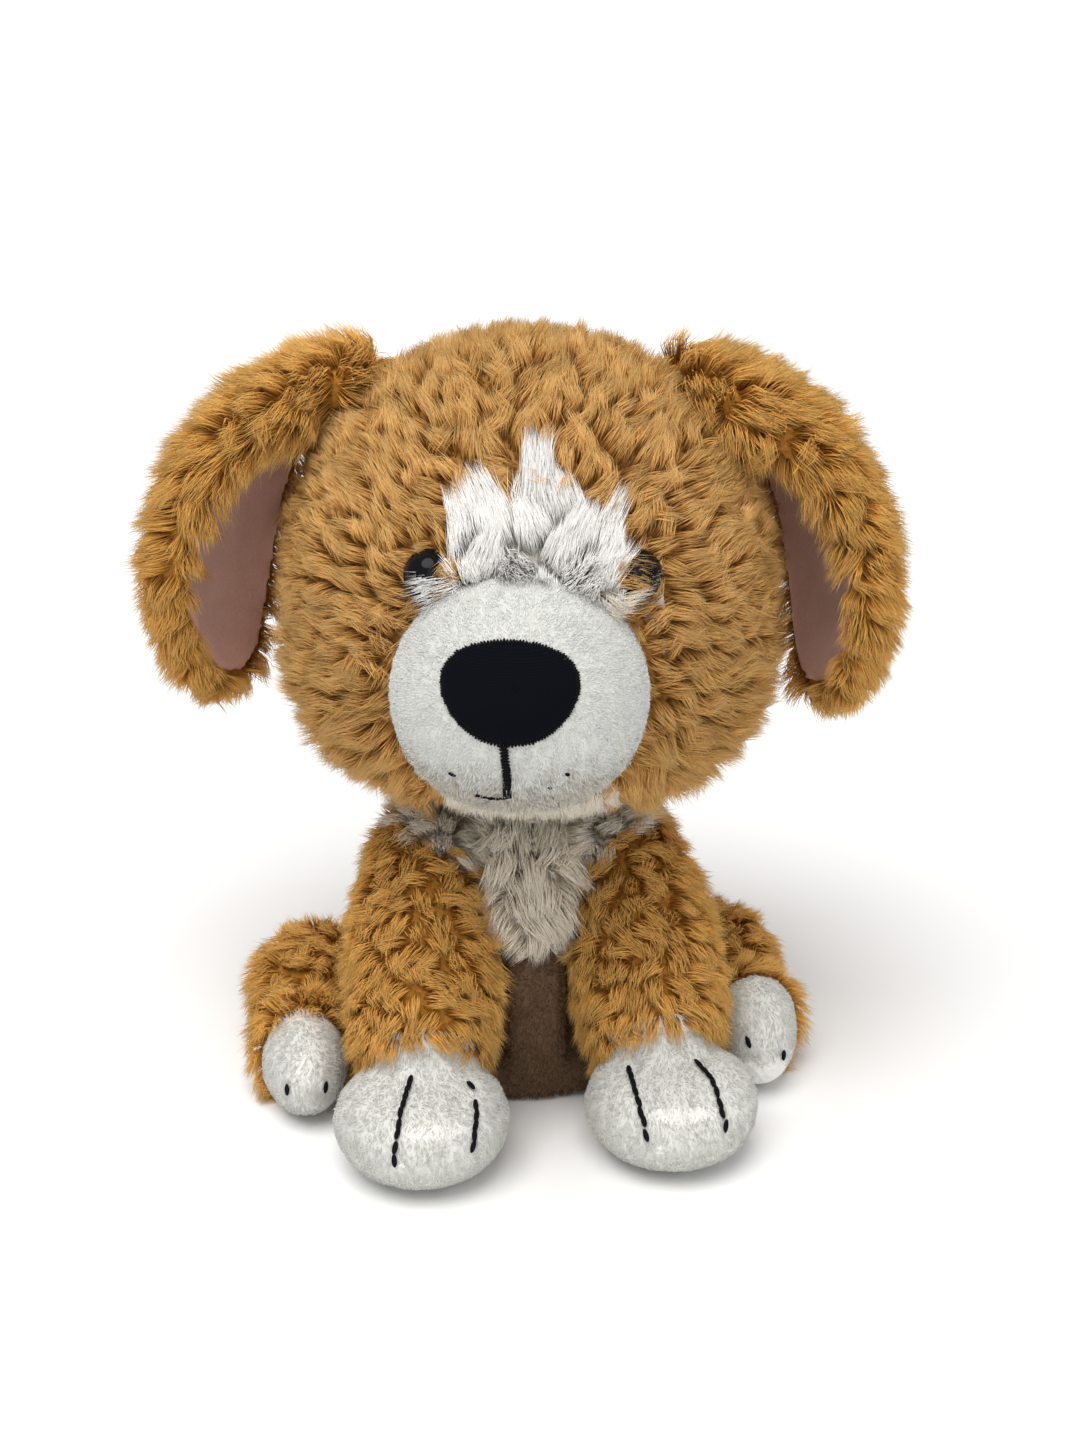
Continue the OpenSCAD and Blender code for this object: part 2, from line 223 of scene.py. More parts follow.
LOOKS = {
    # Each pile's first colour is its root colour, darkened as painted shade among the strands.
    "head_fur": pile_material("head_fur", (0.36, 0.16, 0.03), (0.65, 0.345, 0.095), (0.88, 0.57, 0.23), 0.22),
    "body_fur": pile_material("body_fur", (0.40, 0.18, 0.03), (0.74, 0.385, 0.085), (0.90, 0.57, 0.19), 0.22),
    "white_fur": pile_material("white_fur", (0.92, 0.90, 0.86), (0.97, 0.96, 0.93), (0.98, 0.97, 0.95), 0.02),
    "cream_fur": pile_material("cream_fur", (0.85, 0.74, 0.58), (0.96, 0.87, 0.72), (0.98, 0.92, 0.80), 0.04),
    "white_nap": pile_material("white_nap", (0.82, 0.83, 0.81), (0.85, 0.86, 0.84), (0.88, 0.89, 0.87), 0.01),
    "paw_nap": pile_material("paw_nap", (0.67, 0.67, 0.63), (0.70, 0.70, 0.66), (0.73, 0.73, 0.70), 0.01),
    # The chin's nap is the muzzle's white nap darkened with painted shade, for the shade under the muzzle.
    "chin_nap_painted_shade": pile_material("chin_nap_painted_shade", (0.58, 0.54, 0.46), (0.66, 0.62, 0.54), (0.72, 0.68, 0.61), 0.05),
    "taupe_nap": pile_material("taupe_nap", (0.10, 0.055, 0.03), (0.17, 0.10, 0.055), (0.23, 0.145, 0.085), 0.2),
    "head_backing": backing_material("head_backing", (0.30, 0.14, 0.035), (0.42, 0.21, 0.06)),
    "body_backing": backing_material("body_backing", (0.32, 0.14, 0.02), (0.46, 0.21, 0.04)),
    "white_pile": cloth_material("white_pile", (0.66, 0.66, 0.62), (0.71, 0.71, 0.68), grain=700, bump=0.3, sheen=0.1),
    "taupe_pile": cloth_material("taupe_pile", (0.10, 0.065, 0.045), (0.17, 0.115, 0.08), grain=700, bump=0.6),
    "ear_velour": cloth_material("ear_velour", (0.56, 0.32, 0.26), (0.72, 0.44, 0.37), grain=1400, bump=0.25,
                                 roughness=0.9, sheen=0.15),
    "nose_cloth": woven_material("nose_cloth", (0.002, 0.0025, 0.004), (0.004, 0.005, 0.008), pitch=0.55 * MM,
                                 bump=0.12, roughness=1.0, sheen=0.0),
    "thread": woven_material("thread", (0.003, 0.003, 0.004), (0.012, 0.012, 0.014), pitch=0.5 * MM,
                             bump=0.6, roughness=1.0, sheen=0.0),
    "tape": woven_material("tape", (0.16, 0.10, 0.045), (0.28, 0.19, 0.09), pitch=0.6 * MM, bump=0.6),
    "eye_plastic": gloss_material("eye_plastic", (0.004, 0.004, 0.005)),
    "washer_plastic": cloth_material("washer_plastic", (0.70, 0.70, 0.68), (0.80, 0.80, 0.78), grain=300, bump=0.05,
                                     roughness=0.5, sheen=0.0),
    "fibre": cloth_material("fibre", (0.70, 0.69, 0.66), (0.92, 0.91, 0.88), grain=260, bump=0.9,
                            roughness=1.0, sheen=0.4, depth=0.002),
}


def dress(obj, *looks):
    obj.data.materials.clear()
    for look in looks:
        obj.data.materials.append(LOOKS[look])


# ---- mesh helpers ----------------------------

def new_object(name, mesh):
    obj = bpy.data.objects.new(name, mesh)
    bpy.context.collection.objects.link(obj)
    return obj


def smooth(obj):
    obj.data.polygons.foreach_set("use_smooth", np.ones(len(obj.data.polygons), bool))


def bake_modifiers(obj):
    """The mesh as its modifiers leave it, with the modifiers gone."""
    depsgraph = bpy.context.evaluated_depsgraph_get()
    mesh = bpy.data.meshes.new_from_object(obj.evaluated_get(depsgraph))
    obj.modifiers.clear()
    obj.data = mesh
    return obj


def tree_of(obj):
    return BVHTree.FromObject(obj, bpy.context.evaluated_depsgraph_get())


def mesh_of(bm, name):
    """A new mesh from a bmesh, which is freed."""
    mesh = bpy.data.meshes.new(name)
    bm.to_mesh(mesh)
    bm.free()
    return mesh


def positions(mesh):
    out = np.empty(len(mesh.vertices) * 3, np.float32)
    mesh.vertices.foreach_get("co", out)
    return out.reshape(-1, 3).astype(float)


def normals(mesh):
    out = np.empty(len(mesh.vertices) * 3, np.float32)
    mesh.vertices.foreach_get("normal", out)
    return out.reshape(-1, 3).astype(float)


def move_to(mesh, points):
    mesh.vertices.foreach_set("co", points.astype(np.float32).ravel())
    mesh.update()


def keep_largest(mesh):
    """Drops every loose part but the one with the most vertices."""
    bm = bmesh.new()
    bm.from_mesh(mesh)
    left = set(bm.verts)
    parts = []
    while left:
        front = [left.pop()]
        part = set(front)
        while front:
            for edge in front.pop().link_edges:
                for vert in edge.verts:
                    if vert in left:
                        left.discard(vert)
                        part.add(vert)
                        front.append(vert)
        parts.append(part)
    biggest = max(parts, key=len)
    bmesh.ops.delete(bm, geom=[v for v in bm.verts if v not in biggest], context="VERTS")
    bm.to_mesh(mesh)
    bm.free()


def filling_of(name, nodes, voxel):
    """A closed, evenly meshed union of CAD nodes, ready to be swollen into a skin."""
    bm = bmesh.new()
    for node in nodes:
        bm.from_mesh(NODES[node].data)
    obj = new_object(name, mesh_of(bm, name))
    remesh = obj.modifiers.new("remesh", "REMESH")
    remesh.mode = "VOXEL"
    remesh.voxel_size = voxel
    bake_modifiers(obj)
    keep_largest(obj.data)
    return obj


def soften(obj, rounds=2):
    modifier = obj.modifiers.new("smooth", "SMOOTH")
    modifier.factor = 0.5
    modifier.iterations = rounds
    return bake_modifiers(obj)


def add_cloth(obj):
    cloth = obj.modifiers.new("cloth", "CLOTH")
    cloth.settings.quality = 5
    cloth.settings.mass = 0.2
    cloth.settings.tension_stiffness = 12
    cloth.settings.bending_stiffness = 0.6
    cloth.settings.use_pressure = True
    cloth.settings.uniform_pressure_force = 4
    cloth.settings.effector_weights.gravity = 0


def swell(fillings, growth, cap=4 * MM, frames=20, cloth_share=0.5):
    """Inflates all fillings together as cloth, then takes a capped share of each point's travel."""
    starts = {obj: positions(obj.data) + growth[obj] * normals(obj.data) for obj in fillings}
    for obj in fillings:
        add_cloth(obj)
    for step in range(1, frames + 1):
        bpy.context.scene.frame_set(step)
    for obj in fillings:
        bake_modifiers(obj)
    bpy.context.scene.frame_set(1)
    for obj, start in starts.items():
        moved = positions(obj.data) - start
        far = np.linalg.norm(moved, axis=1, keepdims=True)
        moved *= np.minimum(1, cap / np.maximum(far, 1e-9))
        move_to(obj.data, start + cloth_share * moved)
        subdivide = obj.modifiers.new("subdivide", "SUBSURF")
        subdivide.levels = subdivide.render_levels = 1
        bake_modifiers(obj)
        settled = positions(obj.data)
        settled[:, 2] = np.maximum(settled[:, 2], CLEAR_OF_FLOOR)
        move_to(obj.data, settled)
        smooth(obj)


def cut(obj, name, point, normal):
    """Splits a closed skin along a seam plane: obj keeps the near side, and the far side is returned."""
    other = new_object(name, obj.data.copy())
    for piece, side in ((obj, 1), (other, -1)):
        bm = bmesh.new()
        bm.from_mesh(piece.data)
        done = bmesh.ops.bisect_plane(
            bm, geom=bm.verts[:] + bm.edges[:] + bm.faces[:], plane_co=point, plane_no=normal * side,
            clear_outer=True)
        rim = [g for g in done["geom_cut"] if isinstance(g, bmesh.types.BMEdge)]
        bmesh.ops.edgeloop_fill(bm, edges=rim)
        bm.to_mesh(piece.data)
        bm.free()
        smooth(piece)
    return other


# ---- pile ------------------------------------

STRAND_T = np.array([0.0, 0.55, 1.0])
STRAND_W = np.array([0.9, 0.8])
STRANDS_PER_PIECE = 18000
UV_MARGIN = 0.02


def scatter(skin, per_mm2, rng):
    """Random points on a skin with its normals there, evenly by area."""
    mesh = skin.data
    mesh.calc_loop_triangles()
    tris = np.empty(len(mesh.loop_triangles) * 3, np.int32)
    mesh.loop_triangles.foreach_get("vertices", tris)
    tris = tris.reshape(-1, 3)
    co, no = positions(mesh), normals(mesh)
    a, b, c = (co[tris[:, k]] for k in range(3))
    area = np.linalg.norm(np.cross(b - a, c - a), axis=1) / 2
    count = int(area.sum() / MM**2 * per_mm2)
    pick = rng.choice(len(tris), count, p=area / area.sum())
    u, v = rng.random((2, count))
    over = u + v > 1
    u[over], v[over] = 1 - u[over], 1 - v[over]
    weights = np.stack([1 - u - v, u, v], 1)[:, :, None]
    points = (co[tris[pick]] * weights).sum(1)
    out = (no[tris[pick]] * weights).sum(1)
    return points, out / np.linalg.norm(out, axis=1, keepdims=True)


def thin_out(points, spacing):
    """Indices of points that are at least spacing apart."""
    tree = kdtree.KDTree(len(points))
    for k, p in enumerate(points):
        tree.insert(p, k)
    tree.balance()
    blocked = np.zeros(len(points), bool)
    chosen = []
    for k, p in enumerate(points):
        if not blocked[k]:
            chosen.append(k)
            for _, near, _ in tree.find_range(p, spacing):
                blocked[near] = True
    return np.array(chosen, int)


def unit(v):
    return v / np.maximum(np.linalg.norm(v, axis=-1, keepdims=True), 1e-12)


def tangent(direction, normal):
    return unit(direction - (direction * normal).sum(1, keepdims=True) * normal)


def turned(v, axis, angle):
    """Vectors turned about their own unit axes."""
    return v * np.cos(angle)[:, None] + np.cross(axis, v) * np.sin(angle)[:, None]


def strand_mesh(name, path, width, shade, rng):
    """Closed, tapered, three-sided strands along paths of 3 points, with UVs of (own shade, root to tip)."""
    count = len(path)
    along = unit(path[:, -1] - path[:, 0])
    across = unit(np.cross(along, rng.normal(size=(count, 3))))
    flat = np.cross(along, across) * 0.6
    ring = np.arange(3) * 2 * math.pi / 3
    spokes = across[:, None] * np.cos(ring)[:, None] + flat[:, None] * np.sin(ring)[:, None]
    radius = (width[:, None] * STRAND_W / 2)[:, :, None, None]
    rings = path[:, :2, None] + spokes[:, None] * radius
    verts = np.concatenate([rings.reshape(count, -1, 3), path[:, 2:]], 1)
    quads = [(k, (k + 1) % 3, 3 + (k + 1) % 3, 3 + k) for k in range(3)]
    caps = [(3 + k, 3 + (k + 1) % 3, 6) for k in range(3)] + [(2, 1, 0)]
    corners = np.array([v for face in quads + caps for v in face])
    sizes = np.tile([len(face) for face in quads + caps], count)
    loops = (corners[None] + verts.shape[1] * np.arange(count)[:, None]).ravel()
    mesh = bpy.data.meshes.new(name)
    mesh.vertices.add(count * verts.shape[1])
    mesh.vertices.foreach_set("co", verts.astype(np.float32).ravel())
    mesh.loops.add(len(loops))
    mesh.loops.foreach_set("vertex_index", loops.astype(np.int32))
    mesh.polygons.add(len(sizes))
    mesh.polygons.foreach_set("loop_start", np.concatenate([[0], np.cumsum(sizes)[:-1]]).astype(np.int32))
    mesh.polygons.foreach_set("use_smooth", np.ones(len(sizes), bool))
    rise = np.append(np.repeat(STRAND_T[:2], 3), 1.0) * 0.96 + UV_MARGIN
    uv = np.empty((count, len(corners), 2), np.float32)
    uv[:, :, 0] = np.clip(shade, UV_MARGIN, 0.98)[:, None]
    uv[:, :, 1] = rise[corners][None]
    mesh.update(calc_edges=True)
    mesh.uv_layers.new(name="OFBake").data.foreach_set("uv", uv.ravel())
    return mesh


def grow(name, skin, body, look, comb, length, seed, mask=None, density=2.4, spacing=4.2 * MM, width=0.36 * MM,
         lean=50, clump=0.6, stray=30, sink=0.8 * MM, clear=(), replaced=()):
    """Grows tufted pile on a skin.

    comb gives the lie of the pile at points; mask gives each root's share of the full length, 0 for none.
    density is in strands per square mm, spacing is the least distance between tufts, lean is in degrees from
    upright, clump draws strands to their tuft's tip, stray turns whole tufts by degrees, sink is the depth of
    the roots, and strands that reach into a clear ball are left out.
    """
    rng = np.random.default_rng(seed)
    roots, out = scatter(skin, density, rng)
    share = np.ones(len(roots)) if mask is None else mask(roots, out)
    roots, out, share = roots[share > 0], out[share > 0], share[share > 0]
    centres = thin_out(roots, spacing)
    tree = kdtree.KDTree(len(centres))
    for k, index in enumerate(centres):
        tree.insert(roots[index], k)
    tree.balance()
    own = np.array([tree.find(p)[1] for p in roots])
    at, up = roots[centres], out[centres]
    turn = np.radians(rng.normal(0, stray, len(centres)))
    lie = turned(tangent(comb(at, up), up), up, turn)
    slant = np.radians(np.clip(rng.normal(lean, 9, len(centres)), 5, 80))
    reach = length * rng.uniform(0.75, 1.15, len(centres)) * share[centres]
    tuft_tip = at + (up * np.cos(slant)[:, None] + lie * np.sin(slant)[:, None]) * reach[:, None]
    size = length * share * rng.uniform(0.70, 1.10, len(roots))
    tilt = slant[own] + np.radians(rng.normal(0, 10, len(roots)))
    tip = roots + (out * np.cos(tilt)[:, None] + lie[own] * np.sin(tilt)[:, None]) * size[:, None]
    pull = clump * rng.uniform(0.6, 1.0, len(roots))[:, None]
    tip = tip * (1 - pull) + tuft_tip[own] * pull + rng.normal(0, 0.06, tip.shape) * size[:, None]
    foot = roots - out * sink
    bend = roots + out * (size * 0.5)[:, None] + lie[own] * (size * 0.12)[:, None]
    t = STRAND_T[None, :, None]
    path = foot[:, None] * (1 - t) ** 2 + bend[:, None] * 2 * t * (1 - t) + tip[:, None] * t**2
    path[:, :, 2] = np.maximum(path[:, :, 2], CLEAR_OF_FLOOR)
    shade = 0.5 + rng.normal(0, 0.12, len(centres))[own] + rng.normal(0, 0.18, len(roots))
    thick = width * rng.uniform(0.7, 1.2, len(roots)) * np.clip(share + 0.3, 0.5, 1)
    open_air = np.ones(len(roots), bool)
    for ball, radius in clear:
        open_air &= (np.linalg.norm(path[:, 1:] - ball, axis=2) > radius).all(1)
    order = np.flatnonzero(open_air)
    order = order[np.argsort(own[order], kind="stable")]
    parts = max(1, math.ceil(len(order) / STRANDS_PER_PIECE))
    made = []
    for k, rows in enumerate(np.array_split(order, parts)):
        piece_name = name if parts == 1 else f"{name}_{k + 1}"
        mesh = strand_mesh(piece_name, path[rows], thick[rows], shade[rows], rng)
        piece = new_object(piece_name, mesh)
        dress(piece, look)
        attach(piece, body)
        made.append(piece)
    if replaced:
        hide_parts(*replaced)
    return made


# ---- stitches --------------------------------

def bead(bm, centre, along, up, length, width, height):
    """One stitch, a smooth grain lying along its own direction."""
    side = along.cross(up).normalized()
    rise = side.cross(along).normalized()
    turn = Matrix((along * length / 2, side * width / 2, rise * height / 2)).transposed().to_4x4()
    bmesh.ops.create_icosphere(bm, subdivisions=2, radius=1, matrix=Matrix.Translation(centre) @ turn)


NAP_DEPTH = 1.0 * MM


def sew(name, skin, body, rows, width, replaced, look="thread", height=0.9 * MM, fill=1.15,
        twist=12, seed=5):
    """Rows of stitches on a skin. A row is (points, pitch); twist turns single stitches a little."""
    rng = np.random.default_rng(seed)
    tree = tree_of(skin)
    bm = bmesh.new()
    for points, pitch in rows:
        points = [Vector(p) for p in points]
        for start, end in zip(points, points[1:]):
            count = max(1, round((end - start).length / pitch))
            for k in range(count):
                at = start.lerp(end, (k + 0.5) / count)
                spot, normal, _, _ = tree.find_nearest(at)
                along = (end - start) - (end - start).dot(normal) * normal
                along.rotate(Matrix.Rotation(math.radians(rng.normal(0, twist)), 3, normal))
                bead(bm, spot + normal * NAP_DEPTH, along.normalized(), normal, pitch * fill, width, height)
    piece = new_object(name, mesh_of(bm, name))
    smooth(piece)
    dress(piece, look)
    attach(piece, body)
    if replaced:
        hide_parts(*replaced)
    return piece


FAR = 0.2  # m, outside every skin


def on_front(skin, centre, aside, turn):
    """Point of a skin seen from the front, aside from its centre and turned up from level by degrees."""
    tree = tree_of(skin)
    way = Vector((0, -math.cos(math.radians(turn)), math.sin(math.radians(turn))))
    start = Vector(centre) + Vector((aside, 0, 0)) + way * FAR
    return tree.ray_cast(start, -way)[0] or Vector(centre)


# ---- stuffed skins ---------------------------

VOXEL, FINE_VOXEL = 4 * MM, 3 * MM
SKIN_GROWTH = 0.6 * MM
fillings = {}


def filling(key, nodes, voxel=VOXEL, growth=SKIN_GROWTH):
    """Prepares one skin, and returns it with how far it stands off its CAD nodes."""
    obj = filling_of(f"{key}_skin", nodes, voxel)
    fillings[key] = obj
    return obj, growth


growths = dict([
    filling("head", ["head_stuffing"]),
    filling("muzzle", ["muzzle_stuffing"], FINE_VOXEL, growth=1.3 * MM),
    filling("torso", ["torso_stuffing", "torso_shell", "chest_bib", "belly_panel", "base_panel"], FINE_VOXEL,
            growth=0.0),
    filling("tail", ["tail_stuffing", "tail_skin"], 2.5 * MM),
    *[filling(f"{end}_leg_{side}", [f"{end}_leg_{side}_stuffing"], FINE_VOXEL, growth=1.0 * MM)
      for end in ("front", "hind") for side in SIDES],
])
swell(list(fillings.values()), growths)


def ease(x):
    """Smooth step from 0 to 1."""
    x = np.clip(x, 0, 1)
    return x * x * (3 - 2 * x)


def paint(obj, name, share):
    """Stores each point's share of a panel for the backing material."""
    values = share(positions(obj.data), normals(obj.data))
    layer = obj.data.attributes.new(name, "FLOAT", "POINT")
    layer.data.foreach_set("value", np.asarray(values, np.float32))


def reshape(obj, push):
    """Moves each point of a skin along its normal by push(points, normals)."""
    co, no = positions(obj.data), normals(obj.data)
    move_to(obj.data, co + no * push(co, no)[:, None])


# ---- head ------------------------------------

head = fillings["head"]
muzzle = fillings["muzzle"]
dress(head, "head_backing")
dress(muzzle, "white_pile")
for piece, slot_name, nodes in ((head, "head_fur", ["head_shell"]), (muzzle, "white_pile", ["muzzle_shell"])):
    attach(piece, "head")
    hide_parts(*nodes)


def jowl(points, out):
    """Extra fullness of the cheeks below the eyes."""
    low = ease((HEAD_C.z - 4 * MM - points[:, 2]) / (30 * MM))
    aside = ease((np.abs(head_side(points)) - 22 * MM) / (24 * MM))
    return 3.0 * MM * low * aside


def collar(points, out):
    """The head skin stands up a little where the muzzle is sewn in."""
    gap = np.linalg.norm((points - np.array(MUZZLE_C)) / (np.array(MUZZLE_R) + 2 * MM), axis=1)
    return 1.8 * MM * ease((1.22 - gap) / 0.18)


def full_cheeks(points, out):
    """The muzzle is fuller at its sides and top than its filling."""
    return 1.8 * MM * np.clip(np.abs(out @ ASIDE) + np.maximum(out @ UP, 0), 0, 1)


reshape(head, jowl)
reshape(head, collar)
reshape(muzzle, full_cheeks)
EYES = {side: np.array(middle(f"eye_{side}")) + OUTWARD * 4.5 * MM for side in SIDES}
EYE_RADIUS = 4.0 * MM
EYE_CLEAR = 4.8 * MM
BLAZE_FOOT = MUZZLE_C.z + MUZZLE_R.z - 5 * MM
BLAZE_H = 30 * MM
BLAZE_ASIDE, BLAZE_LEAN = 4.3, 3.0  # mm beside the face's middle at its foot, and back toward it at its top


def blaze_place(points):
    """Place in the white panel: mm aside of its leaning middle line, and the share of its height."""
    rise = (points[:, 2] - BLAZE_FOOT) / BLAZE_H
    return head_side(points) / MM - BLAZE_ASIDE + BLAZE_LEAN * rise, rise


def in_blaze(points):
    """Whether points lie in the white panel, a broad tab with one lock rising out of its top."""
    x, rise = blaze_place(points)
    tab = (np.abs(x) < 20.0 - 3.0 * ease(rise)) & (rise < 0.68 - 0.10 * np.cos(x / 2.6))
    lock = (np.abs(x - 1.5) < 3.6) & (rise < 0.98)
    front = (points - np.array(HEAD_C)) @ OUTWARD > 0
    return (tab | lock) & (rise > -0.5) & front


def near_muzzle(points, margin):
    gap = (points - np.array(MUZZLE_C)) / (np.array(MUZZLE_R) + margin)
    return (gap**2).sum(1) < 1


def eye_distance(points):
    return np.min([np.linalg.norm(points - eye, axis=1) for eye in EYES.values()], axis=0)


def chin(points):
    """From 1 under the muzzle, where the head meets the bib, to 0 at the cheeks."""
    under = (points[:, 2] < MUZZLE_C.z - 12 * MM) & (points @ OUTWARD > MUZZLE_C @ Vector(OUTWARD) - 52 * MM)
    return ease((27 * MM - np.abs(head_side(points))) / (10 * MM)) * under


def head_mask(points, out):
    """Long at the cheeks, shorter round the eyes, the muzzle and the temples, none on the sewn-in panels."""
    share = np.where(near_muzzle(points, 1.0 * MM) | in_blaze(points), 0, 1.0)
    past_eye = eye_distance(points)
    share *= np.where(past_eye > EYE_CLEAR, 0.5 + 0.5 * ease((past_eye - EYE_CLEAR) / (8 * MM)), 0)
    low = ease((HEAD_C.z - 8 * MM - points[:, 2]) / (30 * MM))
    rim = near_muzzle(points, 6 * MM)
    temple = ease((np.abs(head_side(points)) - 42 * MM) / (10 * MM)) * (points[:, 2] > HEAD_C.z - 12 * MM)
    return share * (1 + 0.3 * low) * np.where(rim, 0.7, 1) * (1 - 0.85 * chin(points)) * (1 - 0.25 * temple)


def throat_mask(points, out):
    """The pale pile under the chin."""
    return np.where((chin(points) > 0.6) & ~near_muzzle(points, 1 * MM), 1.0, 0)


def head_comb(points, out):
    """The pile lies away from the muzzle all round."""
    away = points - np.array(MUZZLE_C) - OUTWARD * 10 * MM
    return unit(away) - OUTWARD * 0.3


def steady(direction):
    """A comb that lies the same way everywhere."""
    def comb(points, out):
        return np.tile(np.array(direction, float), (len(points), 1))
    return comb


LABEL_BALL = (np.array(middle("sewn_label")) + np.array([4.0, -3.0, -1.0]) * MM, 6.5 * MM)


def eye_balls(radius):
    return [(eye + OUTWARD * 1.5 * MM, radius) for eye in EYES.values()]


paint(head, "white", lambda points, out: np.maximum(in_blaze(points) * 1.0, chin(points)))
grow("head_fur", head, "head", "head_fur", head_comb,
     length=9.5 * MM, seed=11, mask=head_mask,
     density=3.0, spacing=3.4 * MM, width=0.32 * MM, lean=47, clump=0.55, stray=36,
     clear=[*eye_balls(EYE_RADIUS), LABEL_BALL])
grow("throat_fur", head, "head", "cream_fur", steady(-UP - OUTWARD * 0.2),
     length=6.5 * MM, seed=16, mask=throat_mask,
     density=3.0, spacing=4.0 * MM, lean=30, clump=0.4, stray=40)


def blaze_comb(points, out):
    """The white panel's pile lies upward and fans out."""
    x, _ = blaze_place(points)
    return UP[None] + ASIDE * (0.012 * x)[:, None]


def blaze_mask(points, out):
    return np.where(in_blaze(points) & ~near_muzzle(points, -1 * MM), 1.0, 0)


def blaze_foot(points, out):
    """The lowest quarter of the white panel, which stands up over the muzzle."""
    _, rise = blaze_place(points)
    return np.where(rise < 0.25, blaze_mask(points, out), 0)


grow("blaze_fur", head, "head", "white_fur", blaze_comb,
     length=12 * MM, seed=12, mask=blaze_mask,
     density=6.0, spacing=6.0 * MM, width=0.36 * MM, lean=62, clump=0.4, stray=14, clear=eye_balls(EYE_RADIUS),
     replaced=["forehead_blaze"])
grow("blaze_foot_fur", head, "head", "white_fur", blaze_comb,
     length=11 * MM, seed=15, mask=blaze_foot,
     density=6.0, spacing=4.5 * MM, width=0.36 * MM, lean=36, clump=0.35, stray=20, clear=eye_balls(EYE_RADIUS))


def near_spot(spot, reach):
    """A mask of the roots within reach of a spot."""
    def mask(points, out):
        return np.where(np.linalg.norm(points - spot, axis=1) < reach, 1.0, 0)
    return mask


# Tufts that hang over the eyes: (side, look, inward, above, reach, length, way)
BROWS = [
    ("right", "white_fur", 7.5, -4.5, 4.2, 13.5, (1.0, 0.0)),
    ("right", "head_fur", 6.0, 5.0, 3.2, 10.5, (0.45, -0.9)),
    ("left", "cream_fur", 7.5, -4.5, 3.6, 12.0, (0.9, 0.35)),
    ("left", "head_fur", 6.5, 2.5, 4.2, 12.0, (0.85, -0.5)),
    ("left", "head_fur", -6.5, 1.0, 3.0, 9.0, (-1.0, 0.1)),
]
for number, (side, look, inward, above, reach, length, way) in enumerate(BROWS):
    outside = ASIDE * SIDES[side]
    spot = EYES[side] - outside * inward * MM + UP * above * MM
    spot = np.array(tree_of(head).find_nearest(spot)[0])
    grow(f"brow_{number + 1}", head, "head", look, steady(outside * way[0] + UP * way[1]),
         length=length * MM, seed=70 + number, mask=near_spot(spot, reach * MM),
         density=6.0, width=0.30 * MM, lean=42, clump=0.55, stray=10)


def chin_share(points):
    """From 0 on the upper muzzle to 1 at the chin, along a wavy border; it sets the chin's longer nap and the share of
    strands coloured with painted shade.
    """
    wave = 2.5 * MM * np.sin(points[:, 0] * 900 + 2 * np.sin(points[:, 1] * 700))
    return ease((MUZZLE_C.z - 4 * MM + wave - points[:, 2]) / (16 * MM))


head_tree = tree_of(head)


def outside_head(points, margin):
    """Whether points lie outside the head's skin by more than a margin."""
    nearest = [head_tree.find_nearest(p) for p in points]
    return np.array([(Vector(p) - spot).dot(normal) > margin for p, (spot, normal, _, _) in zip(points, nearest)])


def muzzle_nap_mask(points, out):
    """Short nap all over the muzzle but under the nose, longer at the chin."""
    gap = points - np.array(NOSE_C - HEAD_X * NOSE_OFF * MM) + UP * NOSE_OFF * MM
    gap /= np.array(half("nose")) - 1.8 * MM
    under = (gap[:, 0] ** 2 + gap[:, 2] ** 2 < 1) & (out @ OUTWARD > 0.3)
    return np.where(under | ~outside_head(points, 0.5 * MM), 0, 1.0 + 1.4 * chin_share(points))


def down(points, out):
    return np.tile([0.0, 0.0, -1.0], (len(points), 1))


def muzzle_comb(points, out):
    """The nap lies away from the nose."""
    return points - np.array(NOSE_C) - UP * 4 * MM


def chin_shade_split(mask, low):
    """Splits a mask between the chin's pile, coloured with painted shade, and the rest, strand by strand across the
    border.
    """
    def part(points, out):
        chosen = np.random.default_rng(14).random(len(points)) < chin_share(points)
        return np.where(chosen == low, mask(points, out), 0)
    return part


# The lower muzzle's strands take the nap darkened with painted shade.
for look, low in (("white_nap", False), ("chin_nap_painted_shade", True)):
    grow(f"muzzle_{look}", muzzle, "head", look, muzzle_comb,
         length=1.5 * MM, seed=13, mask=chin_shade_split(muzzle_nap_mask, low),
         density=5.5, spacing=2.2 * MM, width=0.22 * MM, lean=72, clump=0.1, stray=20, sink=0.3 * MM)

# The nose: a padded patch with a satin-stitched rim
NOSE_HALF = half("nose")
muzzle_tree = tree_of(muzzle)


def face_point(x, z):
    """Point of the muzzle skin and its normal, x aside and z up from the nose's middle as the face is seen."""
    start = NOSE_C + FACE * 0.1 + HEAD_X * (x - NOSE_OFF * MM) + Vector((0, 0, z - NOSE_OFF * MM))
    hit = muzzle_tree.ray_cast(start, -FACE)
    return hit[:2] if hit[0] else muzzle_tree.find_nearest(start)[:2]


def nose_point(turn, share):
    """Point under the nose patch, whose outline is a rounded shield."""
    shield = 1 + 0.045 * math.sin(3 * turn)
    return face_point(math.cos(turn) * shield * share * (NOSE_HALF.x - 0.6 * MM),
                      math.sin(turn) * shield * share * (NOSE_HALF.z - 1.4 * MM))


